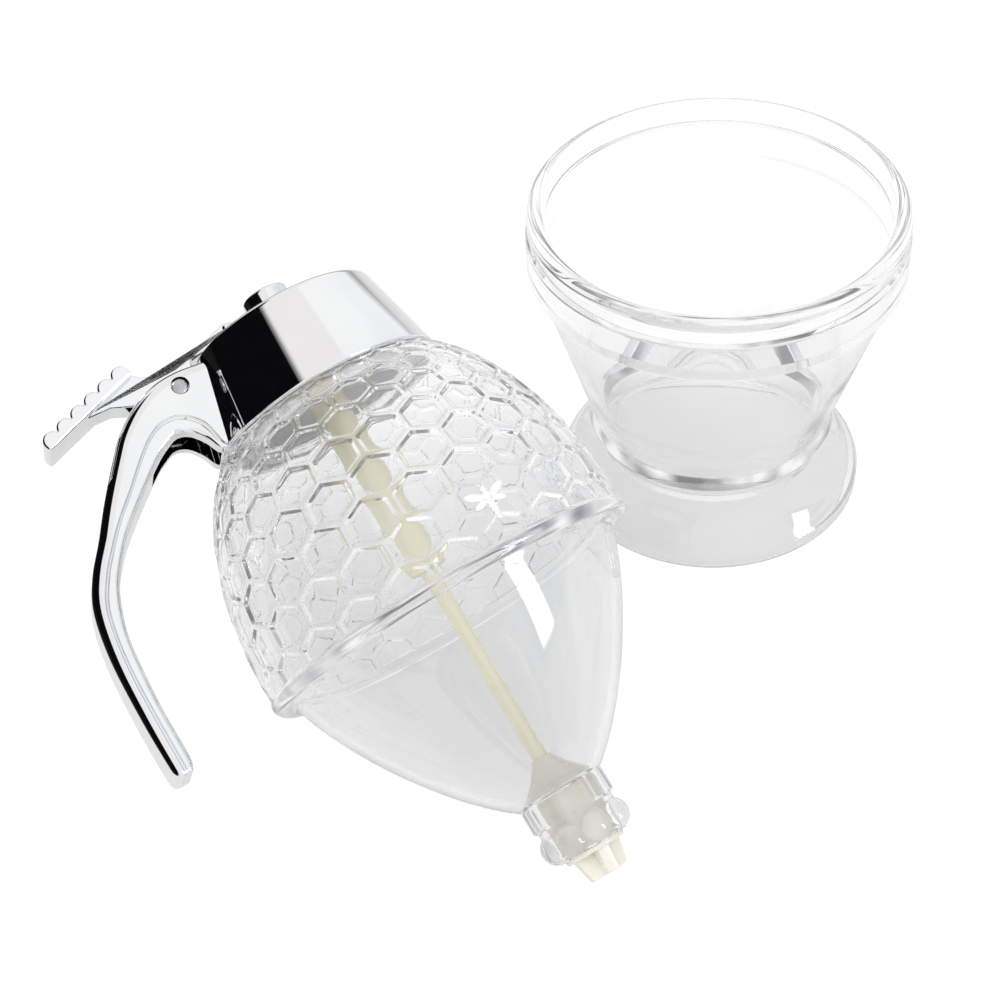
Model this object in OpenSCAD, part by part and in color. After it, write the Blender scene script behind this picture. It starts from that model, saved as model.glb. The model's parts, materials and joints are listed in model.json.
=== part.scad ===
// Honey dispenser lying beside its drip stand.
// The stand's foot stands on z = 0 with its axis on the origin; the dispenser lies on the same plane,
// on the rim bead of its jar and on one lobe of its outlet crown.
// Dispenser pieces are drawn in their own frame: z runs up the dispenser's axis from the jar's seam,
// and x points from the axis to the handle.

/* [Jar] */
// Radius of the circle that the rim bead's round section is centred on
bead_ring_r = 40.9; // [36:0.1:46]
// Radius of the rim bead's section
bead_r = 2.2; // [1.6:0.1:2.6]
// Depth of the rim bead's centre below the seam
bead_drop = 0.4; // [0:0.1:1]
// Outer radius of the dome where it leaves the seam
dome_r = 42.7; // [38:0.1:47]
// Height of the dome's shoulder above the seam
dome_h = 50.5; // [46:0.1:56]
// Outer radius of the dome at its shoulder
shoulder_r = 26.5; // [25:0.1:28]
// Wall thickness of the dome and the funnel
jar_wall = 2.0; // [1.4:0.1:2.6]
// Outer radius of the threaded neck
neck_r = 19.2; // [18:0.1:20]
// Wall thickness of the neck
neck_wall = 2.2; // [1.6:0.1:2.8]
// Height of the neck above the shoulder
neck_h = 12.5; // [10:0.1:13]
// Outer radius of the funnel at the seam
funnel_r = 39.4; // [36:0.1:42]
// Depth of the funnel below the seam
funnel_h = 45.2; // [42:0.1:50]
// Outer radius of the funnel's outlet end
outlet_r = 9.6; // [9.2:0.1:11]

/* [Outlet crown] */
// Number of flats and of lobes
crown_n = 8; // [6:1:10]
// Corner radius of the flat-sided neck
crown_neck_r = 9.9; // [9.6:0.1:11]
// Height of the flat-sided neck
crown_neck_h = 5.6; // [4.5:0.1:7]
// Radius of the circle on which the lobes are centred
lobe_ring_r = 7.2; // [6.8:0.1:8.5]
// Radius of a lobe
lobe_r = 3.5; // [3:0.1:4]
// Depth of the lobes' centres below the crown's top
lobe_drop = 9.8; // [8.5:0.1:11]

/* [Cap] */
// Outer radius of the cap's lower edge
cap_r = 26.5; // [25.5:0.1:28]
// Outer radius of the cap at its top
cap_top_r = 21.6; // [20.5:0.1:23.5]
// Height of the cap
cap_h = 21.1; // [20:0.1:23]
// Wall thickness of the cap
cap_wall = 1.4; // [1:0.1:1.8]
// Thickness of the cap's top plate
cap_top_t = 1.6; // [1.2:0.1:2]
// Radius of the round edge round the cap's top
cap_edge_r = 1.5; // [0.8:0.1:2]
// Gap between the dome's shoulder and the cap's lower edge
cap_lift = 0.4; // [0.3:0.1:1]
// Wall thickness of the liner's ring and disc
liner_t = 1.6; // [1.2:0.1:2]
// Number of ribs round the liner
liner_ribs = 12; // [8:1:16]
// Thickness of the gasket
gasket_t = 1.5; // [1:0.1:2]
// Clearance round the jar's neck
neck_gap = 0.3; // [0.3:0.05:0.6]
// Rise of the cap in one full turn on the neck's thread
thread_lead = 4; // [3:0.5:6]

/* [Handle] */
// Width of the handle
handle_w = 16; // [14:0.5:20]
// How far each side's outer band stands proud of its inner band
handle_step = 0.5; // [0.3:0.1:0.8]
// Width of the slot for the lever
slot_w = 8; // [7.6:0.1:9]
// Distance of the slot's end from the dispenser's axis
slot_end = 41.5; // [41:0.1:43]
// Radius of the screws that hold the handle
screw_r = 1.2; // [0.9:0.1:1.4]
// Radius of the screws' heads
screw_head_r = 1.9; // [1.6:0.1:2.1]
// Distance of each screw from the handle's middle plane
screw_side = 6; // [5.8:0.1:6.2]
// Depth of the screws below the cap's top
screw_drop = 11.5; // [10.5:0.1:12]

/* [Trigger] */
// Distance of the pivot from the dispenser's axis
pivot_x = 27.9; // [27.5:0.1:29]
// Depth of the pivot below the cap's top
pivot_drop = 4.9; // [4.5:0.1:5.5]
// Radius of the pivot pin
pin_r = 1.75; // [1.4:0.05:2]
// Width of the lever between the handle's cheeks
lever_w = 7; // [6:0.1:7.2]
// Width of the thumb plate
plate_w = 11.5; // [10:0.1:14]
// Length of the thumb plate up to its last ridge
plate_l = 22.5; // [21:0.1:24]
// Downward slope of the thumb plate
plate_slope = 18.7; // [17:0.1:20]
// Number of ridges on the thumb plate
ridges = 6; // [4:1:8]
// Distance from one ridge to the next
ridge_pitch = 4; // [3.4:0.1:4]
// Radius of a ridge
ridge_r = 2.1; // [2:0.1:2.3]
// Width across the lever's two prongs
prong_w = 10.4; // [10:0.1:11]
// Angle through which the trigger is pressed
press_angle = 15; // [10:1:15]

/* [Plunger] */
// Radius of the knob's head
knob_r = 5.35; // [5:0.05:6]
// Height of the knob's head
knob_h = 3.7; // [3:0.1:5]
// Radius of the knob's neck
knob_neck_r = 2.5; // [2.3:0.1:2.6]
// Gap between the cap's top and the underside of the knob's head
knob_lift = 4.3; // [4.2:0.1:5]
// Radius of the plunger rod
rod_r = 1.75; // [1.5:0.05:1.9]
// Outer radius of the guide tube
tube_r = 4.1; // [4:0.1:4.6]
// Inner radius of the guide tube
tube_bore_r = 3.3; // [3.2:0.1:3.4]
// Height of the guide tube's lower end above the seam
tube_foot_z = 9; // [5:0.5:20]
// Radius of the plug's bell at its widest
bell_r = 8; // [7.6:0.1:8.1]
// Height of the plug's bell
bell_h = 8; // [6:0.1:10]
// Radius of the plug's collar
plug_r = 6.8; // [6.2:0.1:7]
// Length of the plug's collar
plug_l = 14.6; // [13.5:0.1:16]
// Length of the plug's finned tip
tip_l = 5.3; // [4:0.1:7]
// Thickness of a fin on the plug's tip
fin_t = 2.6; // [2:0.1:3.5]
// Height of the rod's clip above the seam
clip_z = 40.4; // [38:0.1:44]
// Radius of the return spring's wire
wire_r = 0.25; // [0.2:0.01:0.3]
// Number of curls of the return spring
curls = 11; // [8:1:13]

/* [Stand] */
// Outer radius of the stand's foot
foot_r = 36.9; // [34:0.1:40]
// Height of the foot's rim
foot_rim_h = 4.8; // [3:0.1:6]
// Height of the waist, where the foot meets the bowl
waist_z = 23; // [20:0.1:26]
// Wall thickness of the stand
stand_wall = 2.2; // [1.6:0.1:2.8]
// Outer radius that the bowl's cone would have at z = 0
cone_r = 22.3; // [20:0.1:24]
// Growth of the bowl's radius for each millimetre of height
cone_slope = 0.3; // [0.26:0.01:0.32]
// Height of the lower side of the bowl's floor
floor_z = 12; // [10:0.1:14]
// Height of the lower edge of the bowl's band
band_z = 65; // [62:0.1:68]
// Height of the band
band_h = 10; // [8:0.1:11]
// How far the band stands out of the cone
band_step = 1.9; // [1:0.1:2.2]
// Radius of the section of the stand's rim bead
rim_r = 2.15; // [1.8:0.05:2.4]
// Height of the stand's rim bead above the band
rim_rise = 4.1; // [3.8:0.1:4.4]

/* [Place on the table] */
// Distance of the jar's seam centre from the stand's axis, to the left
seat_x = 65.98; // [62:0.01:90]
// Distance of the jar's seam centre from the stand's axis, to the front
seat_y = 76.56; // [74:0.01:90]
// Direction in which the dispenser's upper end points, seen from above
heading = 121.7; // [110:0.1:130]
// Angle of the handle below the level line
roll = 3; // [-10:0.5:15]

/* [Hidden] */
$fn = 96;
// Clearances: of fixed pieces, of shafts that run in a bore, and of shapes that pass each other.
fit = 0.05;
run = 0.08;
pass = 0.3;
// Steps along one bend of a profile.
steps = 10;
eps = 0.01;
// Reach of a cutter beyond the face that it opens.
over = 1;

// Heights along the dispenser's axis.
cap_z = dome_h + cap_lift;
cap_top_z = cap_z + cap_h;
ceiling_z = cap_top_z - cap_top_t;
pivot_z = cap_top_z - pivot_drop;
screw_z = cap_top_z - screw_drop;
neck_top_z = dome_h + neck_h;
gasket_z = neck_top_z + 0.1;
disc_z = gasket_z + gasket_t;
disc_top_z = disc_z + liner_t;
flange_t = 1.4;
flange_w = 2.6;
flange_top_z = disc_top_z + flange_t;
crown_z = -funnel_h;
lobe_z = crown_z - lobe_drop;
bell_base_z = crown_z + pass;
plug_end_z = bell_base_z - plug_l;
head_z = cap_top_z + knob_lift;
// Bore of the crown, and the spring's room in the guide tube.
crown_bore_r = plug_r + 0.35;
tube_mouth_r = rod_r + 0.45;
shoulder_z = disc_z;
washer_t = 0.6;
clip_t = 1.6;
// Ring between the knob's neck and the hole in the cap's top, filled by the seal.
stem_gap = 1.6;
spring_top_z = shoulder_z - washer_t;
spring_foot_z = clip_z + clip_t;
coil_r = (rod_r + tube_bore_r) / 2 + 0.02;
liner_bore_r = neck_r + neck_gap;
cap_slope = (cap_r - cap_top_r) / cap_h;
// Resting: the bead and one lobe touch the table, which sets the dispenser's tilt and height.
touch_a = bead_ring_r - lobe_ring_r;
touch_b = -lobe_z - bead_drop;
touch_c = lobe_r - bead_r;
lean = acos(touch_c / norm([touch_a, touch_b])) - atan2(touch_b, touch_a);
seat_z = bead_ring_r * cos(lean) + bead_r + bead_drop * sin(lean);

function bend(p, t) = p[0] * pow(1 - t, 3) + 3 * p[1] * t * pow(1 - t, 2)
    + 3 * p[2] * t * t * (1 - t) + p[3] * t * t * t;
function heading_of(p, t) = (p[1] - p[0]) * pow(1 - t, 2) + 2 * (p[2] - p[1]) * t * (1 - t)
    + (p[3] - p[2]) * t * t;
function left_of(v) = [-v[1], v[0]] / norm(v);
// Points along a bend, and the same bend moved to its left by a distance.
function run_of(p, n, aside = 0) = [for (i = [0:n]) bend(p, i / n) + aside * left_of(heading_of(p, i / n))];
function back(list) = [for (i = [len(list) - 1:-1:0]) list[i]];
// A smooth line through chosen points.
function knot(p, i) = p[max(0, min(len(p) - 1, i))];
function smooth(p, n) = [for (i = [0:len(p) - 2], k = [0:n - 1])
    let (t = k / n, a = knot(p, i - 1), b = p[i], c = p[i + 1], d = knot(p, i + 2))
    0.5 * (2 * b + (c - a) * t + (2 * a - 5 * b + 4 * c - d) * t * t + (3 * b - 3 * c + d - a) * t * t * t)];
function arc(c, r, a, b, n) = [for (i = [0:n]) c + r * [cos(a + (b - a) * i / n), sin(a + (b - a) * i / n)]];
function cap_r_at(z) = cap_r - (z - cap_z) * cap_slope;
function cone_r_at(z) = cone_r + cone_slope * z;

// Moves a dispenser piece from its own frame to where it lies on the table.
module lying() {
    translate([-seat_x, -seat_y, seat_z])
        rotate([0, 0, heading])
            rotate([0, 90 - lean, 0])
                rotate([0, 0, 90 - roll])
                    children();
}

// ---- Stand ----

foot_waist_r = cone_r_at(waist_z);
foot_rim_in = foot_r - 3.6;
rim_z = band_z + band_h + rim_rise;
rim_ring_r = cone_r_at(band_z) + band_step - rim_r - 0.3;

module stand_bowl() {
    band_r = cone_r_at(band_z) + band_step;
    wall_r = stand_wall / cos(atan(cone_slope));
    collar_r = rim_ring_r - rim_r + 1;
    color([0.93, 0.94, 0.95, 0.4])
        rotate_extrude() {
            polygon([[0, floor_z], [cone_r_at(floor_z) - 1, floor_z], [cone_r_at(floor_z + 1), floor_z + 1],
                     [cone_r_at(band_z), band_z], [band_r - 0.3, band_z + 0.6], [band_r, band_z + 1.2],
                     [band_r, band_z + band_h - 0.6], [band_r - 0.6, band_z + band_h],
                     [rim_ring_r + 0.6, rim_z - rim_r + 0.4], [rim_ring_r + 0.6, rim_z],
                     [rim_ring_r - rim_r, rim_z], [rim_ring_r - rim_r, rim_z - 3],
                     [collar_r, rim_z - 5.6], [collar_r, band_z + 2],
                     [cone_r_at(band_z) - wall_r, band_z - 1],
                     [cone_r_at(floor_z + stand_wall) - wall_r, floor_z + stand_wall + 1],
                     [cone_r_at(floor_z + stand_wall) - wall_r - 1, floor_z + stand_wall],
                     [0, floor_z + stand_wall]]);
            translate([rim_ring_r, rim_z]) circle(r = rim_r);
        }
}

module stand_foot() {
    flare = [[foot_waist_r + 0.2, waist_z], [foot_waist_r + 0.4, waist_z - 6],
             [foot_rim_in - 1.6, foot_rim_h + 5], [foot_r - 1.2, foot_rim_h]];
    color([0.93, 0.94, 0.95, 0.4])
        difference() {
            rotate_extrude()
                polygon(concat(run_of(flare, steps), [[foot_r, foot_rim_h - 0.8], [foot_r, 0.4],
                    [foot_r - 0.4, 0], [foot_r - stand_wall, 0], [foot_r - stand_wall, 1.5]],
                    back(run_of(flare, steps, -stand_wall))));
            // The bowl is set into the foot's waist.
            rotate_extrude()
                polygon([[0, 0], [cone_r_at(0) + fit, 0], [cone_r_at(waist_z + 1) + fit, waist_z + 1],
                         [0, waist_z + 1]]);
        }
}

// ---- Jar ----

dome_bend = [[dome_r, 0], [dome_r + 0.7, dome_h * 0.4], [shoulder_r + 12, dome_h * 0.78],
             [shoulder_r, dome_h]];
funnel_bend = [[funnel_r, 0], [funnel_r - 3.4, -funnel_h * 0.33], [outlet_r + 11.9, -funnel_h + 8.7],
               [outlet_r, -funnel_h]];

// The part of the rim bead above (side 1) or below (side -1) the seam.
module bead_half(side) {
    reach = 2 * bead_r + bead_drop;
    intersection() {
        rotate_extrude()
            translate([bead_ring_r, -bead_drop]) circle(r = bead_r);
        translate([0, 0, side > 0 ? 0 : -reach])
            cylinder(h = reach, r = bead_ring_r + reach);
    }
}

module jar_dome() {
    inner = run_of(dome_bend, steps, jar_wall);
    neck_in = neck_r - neck_wall;
    color([0.93, 0.94, 0.95, 0.4]) {
        rotate_extrude()
            polygon(concat(run_of(dome_bend, steps),
                [[neck_r, dome_h], [neck_r, neck_top_z - 0.5], [neck_r - 0.5, neck_top_z],
                 [neck_in, neck_top_z], [neck_in, dome_h - jar_wall]],
                [for (p = back(inner)) if (p[0] > neck_in + 0.2 && p[1] < dome_h - jar_wall && p[1] > 0) p],
                [[dome_r - jar_wall, 0]]));
        bead_half(1);
    }
}

module jar_funnel() {
    inner = run_of(funnel_bend, steps, -jar_wall);
    color([0.93, 0.94, 0.95, 0.4]) {
        rotate_extrude()
            polygon(concat(run_of(funnel_bend, steps),
                [[outlet_r - 1.2, -funnel_h]], [for (p = back(inner)) if (p[1] < 0) p],
                [[funnel_r - jar_wall, 0]]));
        bead_half(-1);
    }
}

module outlet_crown() {
    flange_z = crown_z - crown_neck_h;
    low_z = lobe_z - lobe_r * 0.7;
    color([0.93, 0.94, 0.95, 0.4])
        difference() {
            union() {
                translate([0, 0, flange_z - eps])
                    rotate([0, 0, 180 / crown_n])
                        cylinder(h = crown_neck_h + eps, r = crown_neck_r, $fn = crown_n);
                translate([0, 0, low_z])
                    cylinder(h = flange_z - low_z, r = lobe_ring_r + 1.6);
                for (i = [0:crown_n - 1])
                    rotate([0, 0, roll + 90 + i * 360 / crown_n])
                        translate([lobe_ring_r, 0, lobe_z])
                            sphere(r = lobe_r, $fn = 48);
            }
            translate([0, 0, lobe_z - lobe_r - 1])
                cylinder(h = lobe_drop + lobe_r + 2, r = crown_bore_r);
        }
}

// ---- Cap ----

module neck_gasket() {
    color("white")
        translate([0, 0, gasket_z])
            difference() {
                cylinder(h = gasket_t, r = neck_r + 0.1);
                translate([0, 0, -1])
                    cylinder(h = gasket_t + 2, r = neck_r - neck_wall - 0.6);
            }
}

// Volume inside the cap's wall.
module cap_hollow(gap) {
    in_r = cap_wall + gap;
    rotate_extrude()
        polygon([[0, cap_z - 1], [cap_r_at(cap_z - 1) - in_r, cap_z - 1],
                 [cap_r_at(ceiling_z) - in_r, ceiling_z], [0, ceiling_z]]);
}

// Sets children on the axes of the screws that hold the handle.
module at_screws() {
    for (side = [-1, 1])
        translate([0, side * screw_side, screw_z])
            rotate([0, 90, 0])
                children();
}

screw_seat_x = sqrt(pow(cap_r_at(screw_z) - cap_wall, 2) - pow(screw_side, 2)) + 0.4;
screw_head_t = 1.5;
screw_l = 8;

module cap_shell() {
    edge = cap_edge_r;
    color("silver")
        difference() {
            rotate_extrude()
                polygon(concat([[0, cap_z], [cap_r, cap_z]],
                    arc([cap_r_at(cap_top_z - edge) - edge, cap_top_z - edge], edge, 12, 90, 6),
                    [[0, cap_top_z]]));
            cap_hollow(0);
            translate([0, 0, ceiling_z - 1])
                cylinder(h = cap_top_t + 2, r = knob_neck_r + stem_gap);
            at_screws() {
                cylinder(h = cap_r + 5, r = screw_r + fit);
                cylinder(h = screw_seat_x, r = screw_head_r + 0.2);
            }
        }
}

liner_rib_t = 1.4;
// Rise of the liner's lower edge above the cap's.
liner_lift = 1;

module cap_liner() {
    color("whitesmoke")
        difference() {
            intersection() {
                cap_hollow(fit);
                union() {
                    translate([0, 0, cap_z + liner_lift])
                        cylinder(h = ceiling_z - cap_z - liner_lift, r = liner_bore_r + liner_t);
                    for (i = [0:liner_ribs - 1])
                        rotate([0, 0, (i + 0.5) * 360 / liner_ribs])
                            translate([liner_bore_r, -liner_rib_t / 2, cap_z + liner_lift])
                                cube([cap_r, liner_rib_t, ceiling_z - cap_z - liner_lift]);
                }
            }
            translate([0, 0, cap_z])
                cylinder(h = disc_z - cap_z, r = liner_bore_r);
            translate([0, 0, disc_top_z])
                cylinder(h = cap_h, r = liner_bore_r - 1);
            cylinder(h = cap_top_z, r = tube_r + fit);
            at_screws()
                cylinder(h = cap_r + 5, r = screw_head_r + 0.3);
        }
}

// The outer and inner lines of the handle, seen from its side, with heights from the cap's top.
handle_back = [[20.8, -1.7], [27.2, -1.1], [33, -1.8], [38.5, -4.1], [43.5, -7.8], [47.3, -12],
               [53.5, -19.7], [58.5, -26.6], [63.2, -32.8], [66.4, -39.5], [68.2, -50], [68.7, -63.3],
               [68.5, -74.5]];
handle_tip = [[68.2, -76.3], [66.6, -77], [64.6, -76.5], [63.7, -75]];
handle_front = [[63.6, -71.9], [63.7, -63.8], [63.3, -55.9], [62.6, -48], [61.4, -42.9], [59.6, -38],
                [57.5, -34.4], [53.7, -29.4], [49.3, -25.1], [44, -20.6], [38.9, -16.6], [36.4, -15.1],
                [33.6, -13.9], [30.9, -14.7], [28.6, -17.4], [26.7, -20.9]];
// The line on each side where the outer band stands proud of the inner one.
handle_crease = [[66.1, -76.8], [66.2, -63], [65.7, -51], [63.9, -40.5], [60.5, -34], [56.6, -29.1],
                 [52.5, -24.6], [47.7, -20.1], [43.8, -16.2], [39.5, -12.4], [35.5, -10.3], [31.5, -10.5],
                 [28.6, -12.6], [26.9, -15.4], [25.6, -20.5]];
fork_root = [20.8, -20.7];

module handle() {
    color("silver")
        difference() {
            translate([0, 0, cap_top_z])
                rotate([90, 0, 0]) {
                    linear_extrude(handle_w - 2 * handle_step, center = true)
                        polygon(concat(smooth(handle_back, 3), handle_tip, smooth(handle_front, 2), [fork_root]));
                    linear_extrude(handle_w, center = true)
                        polygon(concat(smooth(handle_back, 3), [handle_tip[0], handle_tip[1]],
                            smooth(handle_crease, 2), [fork_root]));
                }
            // Saddle against the cap.
            rotate_extrude()
                polygon([[0, cap_z - 5], [cap_r_at(cap_z - 5) + fit, cap_z - 5],
                         [cap_r_at(cap_top_z + 5) + fit, cap_top_z + 5], [0, cap_top_z + 5]]);
            translate([0, -slot_w / 2, cap_z - 5])
                cube([slot_end, slot_w, cap_h + 10]);
            translate([pivot_x, 0, pivot_z])
                rotate([90, 0, 0])
                    cylinder(h = handle_w + 2, r = pin_r + fit, center = true);
            at_screws()
                cylinder(h = screw_seat_x + screw_l + 0.3, r = screw_r + fit);
        }
}

module handle_screws() {
    color("gray")
        at_screws()
            translate([0, 0, screw_seat_x]) {
                cylinder(h = screw_l, r = screw_r);
                difference() {
                    translate([0, 0, -screw_head_t])
                        cylinder(h = screw_head_t, r = screw_head_r);
                    // Cross recess.
                    for (a = [0, 90])
                        rotate([0, 0, a])
                            translate([-screw_head_r * 0.6, -0.25, -screw_head_t - 1])
                                cube([screw_head_r * 1.2, 0.5, 1.8]);
                }
            }
}

module pivot_pin() {
    color("gray")
        translate([pivot_x, 0, pivot_z])
            rotate([90, 0, 0])
                cylinder(h = handle_w - 1, r = pin_r, center = true);
}

module guide_tube() {
    color("cornsilk")
        difference() {
            union() {
                translate([0, 0, tube_foot_z])
                    cylinder(h = flange_top_z - tube_foot_z, r = tube_r);
                translate([0, 0, disc_top_z])
                    cylinder(h = flange_t, r = tube_r + flange_w);
            }
            translate([0, 0, tube_foot_z - 1])
                cylinder(h = shoulder_z - tube_foot_z + 1, r = tube_bore_r);
            cylinder(h = cap_top_z, r = tube_mouth_r);
            // Room for the knob's neck above the mouth.
            translate([0, 0, flange_top_z - 1])
                cylinder(h = 2, r = knob_neck_r + pass);
        }
}

seal_flange = 2;
seal_proud = 0.3;

module stem_seal() {
    color("white")
        difference() {
            union() {
                translate([0, 0, flange_top_z])
                    cylinder(h = ceiling_z - flange_top_z, r = tube_r + seal_flange);
                cylinder(h = cap_top_z + seal_proud, r = knob_neck_r + stem_gap - fit);
            }
            cylinder(h = flange_top_z, r = tube_r + 10);
            translate([0, 0, flange_top_z - 1])
                cylinder(h = cap_h, r = knob_neck_r + run);
        }
}

module spring_washer() {
    color("silver")
        translate([0, 0, spring_top_z])
            difference() {
                cylinder(h = washer_t, r = tube_bore_r - fit);
                translate([0, 0, -1])
                    cylinder(h = washer_t + 2, r = rod_r + 0.2);
            }
}

// ---- Return spring: one unbroken tube wound round the rod ----

rings_a_curl = 8;
wire_sides = 6;
// Share of the rise by which the end curls lag behind an even climb.
end_slow = 0.055;
spring_low = spring_foot_z + wire_r;
spring_rise = spring_top_z - spring_foot_z - 2 * wire_r;

// The wire's middle after a number of curls; it climbs slowly in the end curls.
function climb(s) = let (t = s / curls) t - end_slow * sin(360 * t);
function wire_at(s) = [coil_r * cos(360 * s), coil_r * sin(360 * s), spring_low + spring_rise * climb(s)];
wire_rings = [for (i = [0:rings_a_curl * curls])
    let (s = i / rings_a_curl, a = 360 * s)
    [for (k = [0:wire_sides - 1])
        let (b = 360 * k / wire_sides)
        wire_at(s) + wire_r * cos(b) * [cos(a), sin(a), 0] + [0, 0, wire_r * sin(b)]]];
spring_gap = min([for (i = [0:rings_a_curl * (curls - 1)])
    norm(wire_at(i / rings_a_curl + 1) - wire_at(i / rings_a_curl)) - 2 * wire_r]);
echo(spring_least_gap_mm = spring_gap);

module return_spring() {
    last = len(wire_rings) - 1;
    points = [for (r = wire_rings, p = r) p];
    sides = [for (i = [0:last - 1], k = [0:wire_sides - 1])
        let (a = i * wire_sides + k, b = i * wire_sides + (k + 1) % wire_sides)
        each [[a, b, b + wire_sides], [a, b + wire_sides, a + wire_sides]]];
    ends = [for (k = [1:wire_sides - 2])
        each [[0, k + 1, k], [last * wire_sides, last * wire_sides + k, last * wire_sides + k + 1]]];
    color("silver")
        polyhedron(points, concat(sides, ends));
}

bush_l = 6;

module rod_bush() {
    color("white")
        translate([0, 0, tube_foot_z])
            difference() {
                cylinder(h = bush_l, r = tube_bore_r - fit / 2);
                translate([0, 0, -over])
                    cylinder(h = bush_l + 2 * over, r = rod_r + run);
            }
}

// ---- Trigger ----

// Top line of the prongs, which carry the knob's head.
prong_top_z = head_z - 0.4;

module thumb_lever() {
    plate_at = [pivot_x + 7.2, pivot_z + 7.8];
    color("silver")
        difference() {
            union() {
                // Web from the prongs over the cap's edge to the thumb plate.
                rotate([90, 0, 0])
                    linear_extrude(lever_w, center = true) {
                        translate([pivot_x, pivot_z]) circle(r = 3.7);
                        polygon([[11, prong_top_z - 2.6], [cap_top_r + 0.4, cap_top_z + 0.9],
                                 [pivot_x - 3.4, pivot_z - 1], [pivot_x + 3.4, pivot_z - 1.4],
                                 [pivot_x + 10.7, pivot_z + 2], [pivot_x + 14.1, pivot_z + 3.5],
                                 [pivot_x + 21, pivot_z + 3.7], [pivot_x + 21, pivot_z + 5],
                                 [pivot_x + 8, pivot_z + 9], [pivot_x + 6.2, pivot_z + 7.6],
                                 [pivot_x + 4.4, pivot_z + 6.4], [pivot_x + 2.2, pivot_z + 5.2],
                                 [pivot_x - 1.9, pivot_z + 5.4], [12.2, prong_top_z + 1],
                                 [10.4, prong_top_z + 0.8], [9.4, prong_top_z]]);
                    }
                // Thumb plate with its round ridges.
                translate([plate_at[0], 0, plate_at[1]])
                    rotate([90, plate_slope, 0])
                        linear_extrude(plate_w, center = true) {
                            square([plate_l - 0.4, ridge_r]);
                            for (i = [0:ridges - 1])
                                translate([1.8 + ridge_pitch * i, 1.3]) circle(r = ridge_r - 0.05);
                        }
                // Prongs under the knob's head.
                rotate([90, 0, 0])
                    linear_extrude(prong_w, center = true)
                        polygon([[13, prong_top_z - 2.6], [13, prong_top_z], [5, prong_top_z],
                                 [-2, prong_top_z - 1.3], [-2.4, prong_top_z - 2], [-2, prong_top_z - 2.6]]);
            }
            // Slot round the knob's neck, open at its far end.
            translate([0, 0, cap_top_z])
                cylinder(h = 6, r = knob_neck_r + 0.5);
            translate([-6, -knob_neck_r - 0.5, cap_top_z])
                cube([6, 2 * knob_neck_r + 1, 6]);
            translate([pivot_x, 0, pivot_z])
                rotate([90, 0, 0])
                    cylinder(h = plate_w + 2, r = pin_r + run, center = true);
        }
}

// ---- Plunger ----

rod_top_z = head_z + 0.6;
rod_end_z = bell_base_z + 1.5;

module knob() {
    edge = 0.7;
    color("silver")
        difference() {
            union() {
                translate([0, 0, flange_top_z + 0.6])
                    cylinder(h = head_z - flange_top_z, r = knob_neck_r);
                rotate_extrude()
                    polygon(concat([[0, head_z], [knob_r - 0.4, head_z], [knob_r, head_z + 0.4]],
                        arc([knob_r - edge, head_z + knob_h - edge], edge, 0, 90, 4),
                        [[0, head_z + knob_h]]));
            }
            cylinder(h = rod_top_z, r = rod_r + fit);
        }
}

module plunger_rod() {
    color("cornsilk")
        difference() {
            translate([0, 0, rod_end_z])
                cylinder(h = rod_top_z - rod_end_z, r = rod_r);
            // Groove for the clip.
            translate([0, 0, clip_z])
                difference() {
                    cylinder(h = clip_t, r = rod_r + 1);
                    translate([0, 0, -1])
                        cylinder(h = clip_t + 2, r = rod_r - 0.35);
                }
        }
}

module rod_clip() {
    color("silver")
        translate([0, 0, clip_z])
            difference() {
                cylinder(h = clip_t, r = tube_bore_r - 0.35);
                translate([0, 0, -1])
                    cylinder(h = clip_t + 2, r = rod_r - 0.35 + fit);
                translate([0, -rod_r + 0.4, -1])
                    cube([tube_bore_r, 2 * rod_r - 0.8, clip_t + 2]);
            }
}

module valve_plug() {
    bell_top_z = bell_base_z + bell_h;
    bell_bend = [[rod_r + 0.5, bell_top_z], [rod_r + 2.2, bell_top_z - bell_h * 0.4],
                 [plug_r - 0.4, bell_base_z + bell_h * 0.35], [bell_r, bell_base_z + 1]];
    color([0.9, 0.89, 0.85])
        difference() {
            union() {
                rotate_extrude()
                    polygon(concat([[0, bell_top_z]], run_of(bell_bend, steps),
                        [[bell_r, bell_base_z], [plug_r, bell_base_z], [plug_r, plug_end_z + 0.4],
                         [plug_r - 0.4, plug_end_z], [0, plug_end_z]]));
                // Crossed fins of the tip.
                for (a = [0, 90])
                    rotate([90, 0, a])
                        linear_extrude(fin_t, center = true)
                            polygon([[-plug_r + 1.4, plug_end_z + eps], [plug_r - 1.4, plug_end_z + eps],
                                     [plug_r - 2.7, plug_end_z - tip_l], [-plug_r + 2.7, plug_end_z - tip_l]]);
            }
            translate([0, 0, rod_end_z])
                cylinder(h = bell_h + 2, r = rod_r + fit);
        }
}

stand_bowl();
stand_foot();
lying() jar_dome();
lying() jar_funnel();
lying() outlet_crown();
lying() neck_gasket();
lying() cap_shell();
lying() cap_liner();
lying() handle();
lying() handle_screws();
lying() pivot_pin();
lying() guide_tube();
lying() stem_seal();
lying() spring_washer();
lying() return_spring();
lying() rod_bush();
lying() thumb_lever();
lying() knob();
lying() plunger_rod();
lying() rod_clip();
lying() valve_plug();
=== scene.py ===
# Honey dispenser lying beside its clear stand. Sizes are in millimetres in the dispenser's own
# frame, as in the part's source: x from the axis to the handle, y to the side, z up the axis from
# the jar's seam. Stand pieces use the row's frame. Meshes are written in metres.
import json
import math

import bmesh
import bpy
import numpy as np
from mathutils import Matrix


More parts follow.
